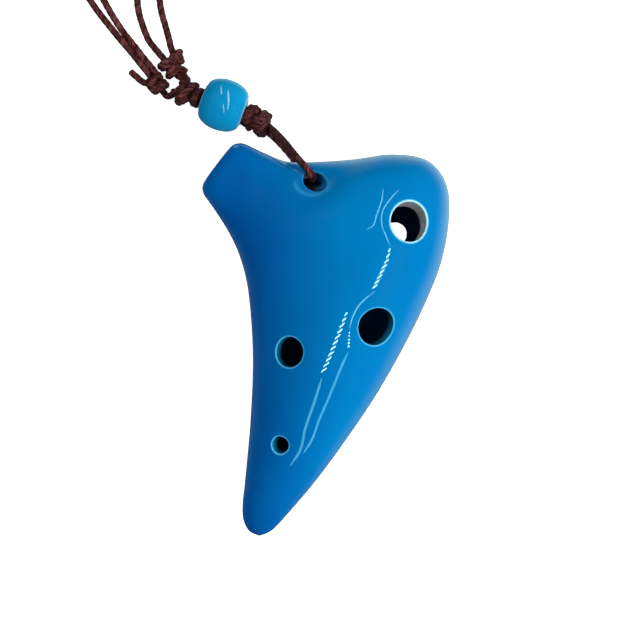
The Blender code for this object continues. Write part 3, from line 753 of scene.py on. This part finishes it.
def carried_frames(path):
    """Two directions across the path at each point, carried along it without twist."""
    tangents = np.gradient(path, axis=0)
    tangents /= np.linalg.norm(tangents, axis=1)[:, None]
    side = np.cross(tangents[0], (0.3, 0.2, 1.0))
    sides, ups = [], []
    for tangent in tangents:
        side = side - tangent * side.dot(tangent)
        side = side / np.linalg.norm(side)
        sides.append(side)
        ups.append(np.cross(tangent, side))
    return np.array(sides), np.array(ups)


class CordMesh:
    """Collects twisted tubes and makes one mesh piece of them."""

    def __init__(self, thickness=CORD, sides=16, strands=3, pitch=5.2, groove=0.11):
        self.radius, self.sides, self.strands = thickness / 2, sides, strands
        self.pitch, self.groove = pitch, groove
        self.bm = bmesh.new()
        self.fibre = self.bm.verts.layers.float_vector.new("fibre")
        self.deep = self.bm.verts.layers.float.new("groove")

    def add(self, path, keep=None):
        """Tube along path. keep is the range of path points to use."""
        sides, ups = carried_frames(path)
        lengths = lengths_along(path)
        turns = tau * np.arange(self.sides) / self.sides
        first, last = keep or (0, len(path))
        rings = []
        for i in range(first, last):
            untwisted = turns - tau * lengths[i] / self.pitch
            ridge = np.abs(np.cos(self.strands * untwisted / 2))
            radius = self.radius * (1.0 + FULLER - self.groove * (1 - ridge))
            ring = (path[i] + (radius * np.cos(turns))[:, None] * sides[i]
                    + (radius * np.sin(turns))[:, None] * ups[i])
            verts = []
            for k in range(self.sides):
                v = self.bm.verts.new(ring[k])
                v[self.fibre] = (self.radius * cos(untwisted[k]) * MM,
                                 self.radius * sin(untwisted[k]) * MM, lengths[i] * MM)
                # Groove depth, used by the cord material as painted shade in the twist's grooves.
                v[self.deep] = (1 - ridge[k]) ** 3
                verts.append(v)
            rings.append(verts)
        for a, b in zip(rings, rings[1:]):
            join_rings(self.bm, a, b)
        for ring, at, sign in ((rings[0], first, -1), (rings[-1], last - 1, 1)):
            self.close(ring, path[at], np.cross(sides[at], ups[at]) * sign)
        return path[first:last]

    def follow(self, points, step=0.3):
        return self.add(resample(points, step))

    def close(self, ring, middle, outwards):
        """Slightly domed end of a cut cord."""
        middle, outwards = Vector(middle), Vector(outwards)
        inner = [self.bm.verts.new(middle + (v.co - middle) * 0.72 + outwards * self.radius * 0.22)
                 for v in ring]
        join_rings(self.bm, ring, inner)
        fan(self.bm, inner, self.bm.verts.new(middle + outwards * self.radius * 0.3))

    def make(self, name, material):
        return add_closed(name, self.bm, material)


def plain_cord(name, material, routes, step):
    """Piece of cord along one or more routes, and the path of the last."""
    mesh = CordMesh()
    paths = [mesh.follow(route, step) for route in routes]
    return mesh.make(name, material), paths[-1]


# Routes of the cords, each a list of given points, in millimetres.
HANGER_ROUTE = (
    (-14.6, 52.5, 7.6), (-13.3, 51.4, 8.5), (-11.7, 49.75, 11.0), (-9.8, 47.4, 15.2), (-7.9, 44.7, 20.0),
    (-5.9, 42.1, 23.7), (-3.85, 39.65, 25.1), (-3.15, 38.15, 23.0), (-4.3, 37.7, 18.6), (-5.9, 37.45, 13.5),
    (-7.15, 37.4, 9.2), (-7.6, 38.4, 6.7), (-7.8, 41.0, 5.9), (-7.8, 43.8, 6.0), (-10.1, 46.75, 6.2),
    (-12.15, 48.95, 6.5), (-14.1, 50.6, 6.9), (-15.3, 51.7, 6.8),
)
LEFT_NECK_ROUTE = (
    (-37.2, 61.0, 5.3), (-37.7, 60.35, 4.3), (-38.5, 59.95, 3.3), (-39.3, 60.1, 2.8), (-39.92, 60.76, 2.7),
    (-40.55, 61.54, 2.7), (-41.8, 63.1, 2.7), (-43.68, 65.44, 2.7), (-46.19, 68.55, 2.7),
    (-48.39, 71.29, 2.7), (-50.9, 74.2, 2.0), (-53.8, 77.8, 1.0), (-56.9, 81.8, 0.85), (-59.8, 86.3, 0.85),
    (-61.9, 90.8, 1.3), (-63.05, 93.6, 1.6),
)
RIGHT_NECK_ROUTE = (
    (-35.45, 62.9, 4.4), (-35.15, 63.8, 3.3), (-35.8, 64.6, 2.75), (-36.98, 65.45, 2.7), (-38.5, 67.3, 2.7),
    (-40.4, 69.62, 2.7), (-43.26, 73.1, 2.7), (-44.25, 74.9, 2.3), (-45.35, 77.7, 1.2), (-46.3, 80.9, 0.85),
    (-46.7, 84.4, 0.9), (-46.2, 87.6, 1.6),
)
LEFT_RETURN_ROUTE = (
    (-41.0, 64.3, 3.7), (-42.5, 66.35, 3.1), (-44.82, 69.18, 3.0), (-46.95, 71.95, 2.8),
    (-49.75, 75.45, 1.9), (-52.3, 79.25, 1.0), (-54.6, 83.2, 0.9), (-56.6, 87.0, 1.6), (-57.4, 88.6, 2.0),
)
RIGHT_RETURN_ROUTE = (
    (-37.2, 69.6, 3.0), (-38.15, 71.75, 2.7), (-38.75, 74.1, 2.1), (-39.7, 77.5, 1.0), (-40.75, 81.3, 0.85),
    (-41.2, 85.3, 0.9), (-40.7, 89.0, 1.3), (-40.2, 92.0, 1.7),
)
LEFT_TAIL_ROUTE = ((-44.2, 63.3, 2.3), (-45.3, 63.6, 1.7), (-46.6, 64.7, 1.3), (-48.3, 66.2, 1.0))
RIGHT_TAIL_ROUTE = ((-36.6, 66.9, 2.8), (-35.5, 66.6, 2.6), (-35.0, 66.4, 2.5), (-34.5, 66.05, 2.3))


def coil_turns(start, direction, first_layer):
    """Points of two layers of turns, inwards on the first and outwards on the one above it."""
    columns = COIL_COLUMNS
    outer = COIL_RADIUS + (columns - 1) / 2 * CORD
    points = []
    for k in range(2 * columns * TURN_POINTS + 1):
        turns = k / TURN_POINTS
        whole = min(int(turns), 2 * columns - 1)
        step = float(smooth_step(turns - whole, 1 - COIL_SHIFT, 1.0))
        column, layer = whole + step, first_layer
        if turns >= columns - 1:
            column = columns - 1
            layer += float(smooth_step(turns, columns - COIL_SHIFT, columns))
        if turns >= columns:
            column = max(0.0, 2 * columns - 1 - whole - step)
        wobble = COIL_UNEVEN * sin(2.3 * turns * tau / 3 + first_layer)
        angle, radius = start + direction * tau * turns, outer - column * CORD + wobble
        place = Vector((radius * cos(angle), radius * sin(angle), COIL_FIRST_LAYER + CORD * layer))
        points.append(COIL_CENTRE + place)
    return points


def cord_in_coil(neck_route, turns, return_route):
    """Whole path of one neck cord, and where its return begins."""
    neck, back = resample(neck_route, CORD_STEP), resample(return_route[::-1], CORD_STEP)
    middle = resample([neck[-JOIN_POINTS], neck[-1], *turns, back[0], back[JOIN_POINTS]], COIL_STEP)
    start, end = (int(np.argmin(np.linalg.norm(middle - p, axis=1))) for p in (neck[-1], back[0]))
    return np.concatenate((neck[:-1], middle[start:end], back)), len(neck) - 1 + end - start


def metres(path, every=1):
    kept = list(path[::every])
    if (len(path) - 1) % every:
        kept.append(path[-1])
    return [[float(x) * MM for x in p] for p in kept]


def neck_cords(material):
    """Each neck cord runs through its sliding knot into the coil, and back to the other knot."""
    clockwise, counter = coil_turns(COIL_ENTRIES[0], -1, 0), coil_turns(COIL_ENTRIES[1], 1, 2)
    plans = (
        ("left", LEFT_NECK_ROUTE, clockwise[:-14], RIGHT_RETURN_ROUTE, "right"),
        ("right", RIGHT_NECK_ROUTE, counter[:-12], LEFT_RETURN_ROUTE, "left"),
    )
    made = {}
    for side, route, turns, return_route, far in plans:
        path, back = cord_in_coil(route, turns, return_route)
        back -= RETURN_POINTS
        for name, title, keep in ((side + "_neck_cord", side + "_neck_cord_and_coil", (0, back + 1)),
                                  (far + "_return", far + "_return_strand", (back, len(path)))):
            mesh = CordMesh()
            kept_path = mesh.add(path, keep=keep)
            made[name] = (mesh.make(title, material), kept_path)
    return made


# ---- knots, bead and tie

def knot_frame(run):
    along = run.normalized()
    across = Vector((0, 0, 1)).cross(along).normalized()
    return along, across, along.cross(across)


def wraps(centre, run, radii, length, turns, phase=0.0, lean=0.0):
    """Path that winds round a run, with radii at its start, middle and end."""
    along, across, up = knot_frame(run)
    points = []
    count = max(16, round(turns * 26))
    for k in range(count + 1):
        share = k / count
        angle = phase + tau * turns * share
        radius = float(np.interp(share, (0, 0.5, 1), radii))
        shift = length * (share - 0.5) + lean * cos(angle)
        points.append(centre + along * shift + across * radius * cos(angle)
                      + up * radius * sin(angle))
    return points


# Knots beside the bead: core (place along the run, length, radius), windings (place, radii at start, middle
# and end, length, turns, starting turn, lean), and strands over them (along, across and up from the centre)
LOWER_CORE, LOWER_WINDINGS = (-0.3, 5.0, 2.4), (
    (-2.2, (2.15, 2.35, 2.2), 1.7, 2.1, 0.4, 0.25),
    (1.5, (2.3, 2.6, 2.2), 2.0, 2.15, 2.2, -0.55),
)
LOWER_CROSSINGS = (
    ((-2.3, -1.6, 0.2), (-1.4, -1.8, 2.0), (0.2, -0.4, 2.9), (1.6, 1.1, 2.5), (2.1, 2.3, 0.8),
     (1.2, 1.9, -1.2)),
    ((-1.0, -1.6, -1.0), (-0.9, -2.7, 0.3), (-0.2, -2.3, 1.7), (1.1, -1.0, 2.6), (2.1, 0.5, 1.9),
     (1.9, 0.9, 0.2)),
)
UPPER_CORE, UPPER_WINDINGS = (0.3, 4.6, 1.9), (
    (2.35, (1.75, 1.8, 1.75), 1.5, 2.0, 0.5, 0.2),
    (-0.7, (1.9, 2.35, 2.0), 1.9, 1.9, 1.2, 0.8),
)
UPPER_CROSSINGS = (
    ((1.0, 2.6, 0.2), (0.7, 2.3, 1.6), (-0.2, 1.0, 2.7), (-1.2, -0.9, 2.6), (-1.9, -2.5, 1.2),
     (-1.7, -2.7, -0.6)),
    ((-0.4, 2.0, 0.2), (-1.5, 1.4, 1.4), (-2.6, 0.2, 1.2), (-3.2, -0.9, 0.2)),
)
UPPER_LINK = (
    (-33.6, 61.6, 5.2), (-34.1, 62.9, 4.3), (-34.2, 64.0, 3.2), (-35.1, 65.1, 2.2), (-36.2, 65.7, 1.7),
)


def bead_knot(name, centre, run, core, windings, crossings, link, material):
    """Knot beside the bead, filled with inner wraps."""
    mesh = CordMesh()
    shift, length, radius = core
    radii = (radius * 0.5, radius * 0.6, radius * 0.5)
    mesh.follow(wraps(centre + run * shift, run, radii, length, 4), 0.4)
    for shift, *winding in windings:
        mesh.follow(wraps(centre + run * shift, run, *winding))
    along, across, up = knot_frame(run)
    for crossing in crossings:
        mesh.follow([centre + along * a + across * b + up * c for a, b, c in crossing])
    if link:
        mesh.follow(link)
    return mesh.make(name, material)


def sliding_knot(name, lobes, material):
    """Knot round the neck cord. Each lobe has its centre, run, hollowing, length and windings."""
    mesh = CordMesh()
    for centre, run, hollow, length, windings in lobes:
        for shift, radius, *turning in windings:
            radii = (radius - hollow, radius, radius - hollow)
            mesh.follow(wraps(centre + run * shift, run, radii, length, *turning))
    return mesh.make(name, material)


def bead_radius(share):
    """Radius of the bead at a share of half its length from its middle."""
    return BEAD_END_RADIUS + (BEAD_RADIUS - BEAD_END_RADIUS) * (1 - share * share) ** 0.5


def bead(material):
    """Turned ceramic bead with softly rounded bore edges."""
    bm = bmesh.new()
    rim, wall = (bm.verts.layers.float.new(name) for name in ("rim", "wall"))
    _, across, up = knot_frame(BEAD_AXIS)
    profile = []
    for k in range(49):
        share = -1 + 2 * k / 48
        share = copysign(1 - (1 - abs(share)) ** 1.35, share)
        pale = 0.5 * float(smooth_step(abs(share), 0.96, 1.0))
        profile.append((share * BEAD_HALF, bead_radius(share), pale, 0.0))
    lip = []
    for k in range(1, 7):
        turn = pi * k / 6
        lip.append((BEAD_HALF + BEAD_LIP_RISE * sin(turn),
                    BEAD_END_RADIUS - BEAD_LIP + BEAD_LIP * cos(turn), 0.9 - 0.1 * k, 0.15 * k))
    bore = [(share * BEAD_HALF, BEAD_BORE, 0.0, 1.0) for share in (1.0, 0.5, 0.0, -0.5, -1.0)]
    profile += lip + bore + [(-along, *others) for along, *others in reversed(lip[:-1])]
    segments = 96
    loops = []
    for along, radius, pale, bare in profile:
        ring = []
        for k in range(segments):
            turn = tau * k / segments
            uneven = 1 + 0.012 * sin(2 * turn + 0.6) + 0.008 * sin(3 * turn + along * 0.3)
            direction = across * cos(turn) + up * sin(turn)
            if bare > 0:
                uneven = 1
            v = bm.verts.new(BEAD_CENTRE + BEAD_AXIS * along + direction * radius * uneven)
            v[rim], v[wall] = pale, bare
            ring.append(v)
        loops.append(ring)
    for a, b in zip(loops, loops[1:] + loops[:1]):
        join_rings(bm, a, b)
    return add_closed("glazed_bead", bm, material)


def coil_tie(material):
    """Thin waxed thread wound round the coil's far side and knotted on top."""
    mesh = CordMesh(thickness=TIE_THREAD, sides=10, strands=2, pitch=2.0, groove=0.2)
    half = COIL_COLUMNS * CORD / 2 + 0.45
    low, high = COIL_FIRST_LAYER - CORD / 2 - 0.3, COIL_FIRST_LAYER + 3.5 * CORD + 0.35
    middle, rise = (low + high) / 2, (high - low) / 2
    points = []
    count = TIE_TURNS * 40
    for k in range(count + 1):
        angle = tau * k / 40
        c, s = cos(angle), sin(angle)
        y = copysign(abs(c) ** 0.45, c) * half
        z = middle + copysign(abs(s) ** 0.45, s) * rise
        points.append(COIL_CENTRE + Vector((TIE_WIDTH * k / count - TIE_WIDTH / 2, COIL_RADIUS + y, z)))
    mesh.follow(points, 0.35)
    top = COIL_CENTRE + Vector((0, COIL_RADIUS, high + 0.3))
    mesh.follow(wraps(top, Vector((1, 0.1, 0)), (0.45, 0.5, 0.45), 1.6, 3), 0.2)
    for sign in (-1, 1):
        mesh.follow([top + Vector((sign * a, b, c)) for a, b, c in
                     ((0.3, 0, 0.2), (1.3, -0.5, 0.4), (2.2, -1.4, 0.0), (2.8, -2.6, -0.3))], 0.25)
    return mesh.make("coil_tie_thread", material)


# ---- stage

def camera():
    data = bpy.data.cameras.new("camera")
    data.lens, data.sensor_width = CAMERA_LENS, 36.0
    data.clip_start, data.clip_end = 0.02, 20.0
    obj = new_object("camera", data)
    obj.location = CAMERA * MM
    bpy.context.scene.camera = obj


def floor():
    """White floor that glows like a light table, so that it shows no shadow, and a pale wall round it."""
    bm = bmesh.new()
    bmesh.ops.create_grid(bm, x_segments=2, y_segments=2, size=FLOOR_HALF)
    ground = add_object("floor", bm)
    bm = bmesh.new()
    size = {"radius1": WALL_RADIUS, "radius2": WALL_RADIUS, "depth": WALL_HEIGHT}
    bmesh.ops.create_cone(bm, cap_ends=False, segments=96, **size)
    wall = add_object("wall", bm)
    wall.location.z = WALL_HEIGHT / 2 - 0.01
    wall.visible_glossy = wall.visible_diffuse = wall.visible_shadow = False
    white = Material("white_floor").shade({"Base Color": (0.8, 0.8, 0.8), "Roughness": 0.9,
                                           "Emission Color": (1.0, 1.0, 1.0), "Emission Strength": 0.95})
    for piece in (ground, wall):
        piece.data.materials.append(white)
    ground.visible_glossy = False


def area_light(name, place, size, power):
    """Soft lamp that shines at the object's middle."""
    data = bpy.data.lights.new(name, "AREA")
    data.shape, data.size, data.size_y, data.energy = "RECTANGLE", *size, power
    obj = new_object(name, data)
    obj.location = place
    obj.rotation_mode = "QUATERNION"
    obj.rotation_quaternion = (Vector((0, 0, 0.02)) - Vector(place)).to_track_quat("-Z", "Y")
    obj.visible_glossy = False


def world():
    """Room that is dark overhead and pale low down on the right and at the top of the view."""
    made = bpy.data.worlds.new("studio")
    made.use_nodes = True
    nodes = Nodes(made.node_tree)
    parts = nodes.add("SeparateXYZ", {"Vector": nodes.add("TexCoord")["Generated"]})
    toward = nodes.plus(nodes.times(parts["X"], 0.72), nodes.times(parts["Y"], 0.69))
    low = nodes.spread(parts["Z"], -0.28, -0.86)
    light = nodes.plus(nodes.times(low, nodes.spread(toward, -0.1, 0.5)), nodes.times(low, 0.12))
    background = made.node_tree.nodes["Background"].inputs
    nodes.put((0.72, 1.0, 0.97), background["Color"])
    nodes.put(nodes.plus(nodes.times(light, ROOM_LOW), ROOM_HIGH), background["Strength"])
    bpy.context.scene.world = made


def reflected(p, normal):
    """Point a little way along the camera's line reflected at a surface point."""
    return p + (p - CAMERA).normalized().reflect(normal) * STRIP_LIFT


def strip_quads(bm, lay, line, width, dash=None, slant=0.0):
    """Strips mirrored along a line of points in plan, whole or cut into slanted dashes."""
    points = resample([(*p, 0.0) for p in line], STRIP_STEP if dash is None else DASH_STEP)[:, :2]
    run = np.gradient(points, axis=0)
    run /= np.linalg.norm(run, axis=1)[:, None]
    if dash is None:
        spans = [(k, k + 1) for k in range(len(points) - 1)]
    else:
        step, size = (round(length / DASH_STEP) for length in dash)
        spans = [(k, min(k + size, len(points) - 1)) for k in range(0, len(points) - 2, step)]
    for a, b in spans:
        ends = []
        for k in (a, b):
            if dash is None:
                near_end = min(k, len(points) - 1 - k) / STRIP_TAPER
            else:
                near_end = (k + DASH_TAPER_START) / DASH_TAPER
            taper = min(1.0, STRIP_POINT + (1 - STRIP_POINT) * near_end)
            side = np.array((-run[k][1], run[k][0])) * width / 2 * taper
            lean = run[k] * slant * taper
            ends.append((points[k] + side + lean, points[k] - side - lean))
        corner_places = (ends[0][0], ends[0][1], ends[1][1], ends[1][0])
        bm.faces.new([bm.verts.new(reflected(*lay(*p)) * MM) for p in corner_places])


def highlight_strips(name, lay, lines, strength, colour):
    """Thin lamps just over the glaze, each mirrored along its line as seen from the camera's place."""
    bm = bmesh.new()
    for line in lines:
        strip_quads(bm, lay, *line)
    obj = add_object(name, bm)
    glow = {"Base Color": (0, 0, 0), "Emission Color": colour, "Emission Strength": strength}
    obj.data.materials.append(Material(name).shade(glow))
    obj.visible_camera = obj.visible_diffuse = obj.visible_shadow = False


def on_bead(x, y):
    """Point and outward direction of the bead's upper side at a place in plan."""
    offset = Vector((x, y, BEAD_CENTRE.z)) - BEAD_CENTRE
    along = offset.dot(BEAD_AXIS)
    side = offset - BEAD_AXIS * along
    share = max(-0.95, min(0.95, along / BEAD_HALF))
    slope = -(BEAD_RADIUS - BEAD_END_RADIUS) * share / (1 - share * share) ** 0.5 / BEAD_HALF
    across = side + Vector((0, 0, sqrt(max(0.01, bead_radius(share) ** 2 - side.length_squared))))
    return BEAD_CENTRE + BEAD_AXIS * along + across, (across.normalized() - BEAD_AXIS * slope).normalized()


def shells(material):
    """The two glazed shells, and the highlight strips over them."""
    whole = solid_body()
    surface = Surface(whole)
    for name, lay, lines, strength, colour in (
            ("highlight_strips", surface.seen_from_above, SOLID_LINES, 7.0, (0.40, 0.98, 1.0)),
            ("highlight_dashes", surface.seen_from_above, DASHED_LINES, 24.0, (0.55, 1.0, 0.85)),
            ("soft_strips", surface.seen_from_above, SOFT_LINES, 4.6, (0.25, 0.95, 1.0)),
            ("bead_strips", on_bead, BEAD_LINES, 5.5, (0.9, 1.0, 1.0))):
        highlight_strips(name, lay, lines, strength, colour)
    cutters = windway_cutters()
    made = []
    for name, front in (("glazed_front_shell", True), ("glazed_back_shell", False)):
        shell = half_shell(name, whole, front)
        cut(shell, [cutters["pocket"]] if front else cutters.values())
        smooth_like(shell, surface)
        shell.data.materials.clear()
        shell.data.materials.append(material)
        made.append(shell)
    for cutter in cutters.values():
        bpy.data.objects.remove(cutter, do_unlink=True)
    return made


def main():
    camera()
    world()
    floor()
    area_light("key", (0.44, -0.14, 0.55), (0.30, 0.40), 6.0)
    area_light("fill", (-0.42, 0.34, 0.57), (0.4, 0.4), 2.9)

    # The last argument of each glaze is the span in x over which painted shade darkens its left side.
    blue = glaze_material("blue_glaze_fired", (0.0002, 0.082, 0.33), (0.0004, 0.184, 0.475),
                          (0.62, 0.88, 0.95), (0.40, 0.38, 0.35), (-0.020, 0.004))
    sky = glaze_material("sky_glaze_fired", (0.001, 0.165, 0.40), (0.004, 0.28, 0.54), (0.62, 0.80, 0.84),
                         (0.40, 0.40, 0.38), (-0.031, -0.020))
    cord = cord_material("waxed_cotton", (0.013, 0.0010, 0.0015), (0.275, 0.088, 0.086), 0.45, 0.65)
    thread = cord_material("tie_thread", (0.022, 0.012, 0.012), (0.07, 0.04, 0.035), 0.4, 0.6)
    block = frame["nodes"]["fipple_block"].data.materials
    block.clear()
    block.append(clay_material("bare_clay_fired", (0.62, 0.59, 0.53), (0.44, 0.41, 0.36)))

    front, back = shells(blue)
    beads = bead(sky)
    lower = bead_knot("lower_knot_wraps", LOWER_KNOT, LOWER_KNOT_RUN, LOWER_CORE, LOWER_WINDINGS,
                      LOWER_CROSSINGS, (), cord)
    upper = bead_knot("upper_knot_wraps", UPPER_KNOT, UPPER_KNOT_RUN, UPPER_CORE, UPPER_WINDINGS,
                      UPPER_CROSSINGS, UPPER_LINK, cord)
    strands = [[BEAD_CENTRE + Vector((0, 0, side * STRANDS_APART)) + BEAD_AXIS * place
                for place in STRAND_PLACES] for side in (1, -1)]
    inside, _ = plain_cord("strands_in_bead", cord, strands, 0.5)
    loop, hanger_path = plain_cord("hanger_loop", cord, [HANGER_ROUTE], 0.22)
    left_lobes = [(LEFT_KNOT, LEFT_RUN, 0.1, 1.5, LEFT_LOBES)]
    right_lobes = [(RIGHT_KNOT, RIGHT_RUN, 0.1, 1.5, RIGHT_LOBES),
                   (RIGHT_LOBE, RIGHT_LOBE_RUN, 0.5, 1.4, RIGHT_SECOND_LOBE)]
    knots, tails = {}, {}
    for side, lobes, tail in (("left", left_lobes, LEFT_TAIL_ROUTE),
                              ("right", right_lobes, RIGHT_TAIL_ROUTE)):
        knots[side] = sliding_knot(side + "_sliding_knot_wraps", lobes, cord)
        tails[side], _ = plain_cord(side + "_cut_tail", cord, [tail], CORD_STEP)
    cords = neck_cords(cord)
    tie = coil_tie(thread)

    dressed = [
        (front, "instrument", "blue_glaze", "front_shell"),
        (back, "instrument", "blue_glaze", "back_shell"),
        (beads, "bead", "sky_glaze", "cord_bead"),
        (lower, "instrument", "waxed_cord", "lower_bead_knot"),
        (upper, "instrument", "waxed_cord", "upper_bead_knot"),
        (inside, "instrument", "waxed_cord", "left_cord_in_bead", "right_cord_in_bead"),
        (loop, "instrument", "waxed_cord", "hanger_cord"),
        (tie, "instrument", "thread", "coil_tie"),
    ]
    for side in ("left", "right"):
        neck, _ = cords[side + "_neck_cord"]
        dressed += [(knots[side], side + "_knot", "waxed_cord", side + "_sliding_knot"),
                    (tails[side], side + "_knot", "waxed_cord", side + "_knot_tail"),
                    (neck, "instrument", "waxed_cord", side + "_neck_cord", "neck_cord_coil")]
    for piece, body, slot, *nodes in dressed:
        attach(piece, body)
        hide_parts(*nodes)

    for side in ("left", "right"):
        piece, path = cords[side + "_return"]
        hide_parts(side + "_return_cord")
        points = metres(path)
        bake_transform(piece, "instrument", side + "_knot", start=points[BLEND_START], end=points[BLEND_END])

    bpy.context.scene.view_settings.view_transform = "Standard"
    bpy.context.scene.view_settings.look = "None"


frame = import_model()
main()
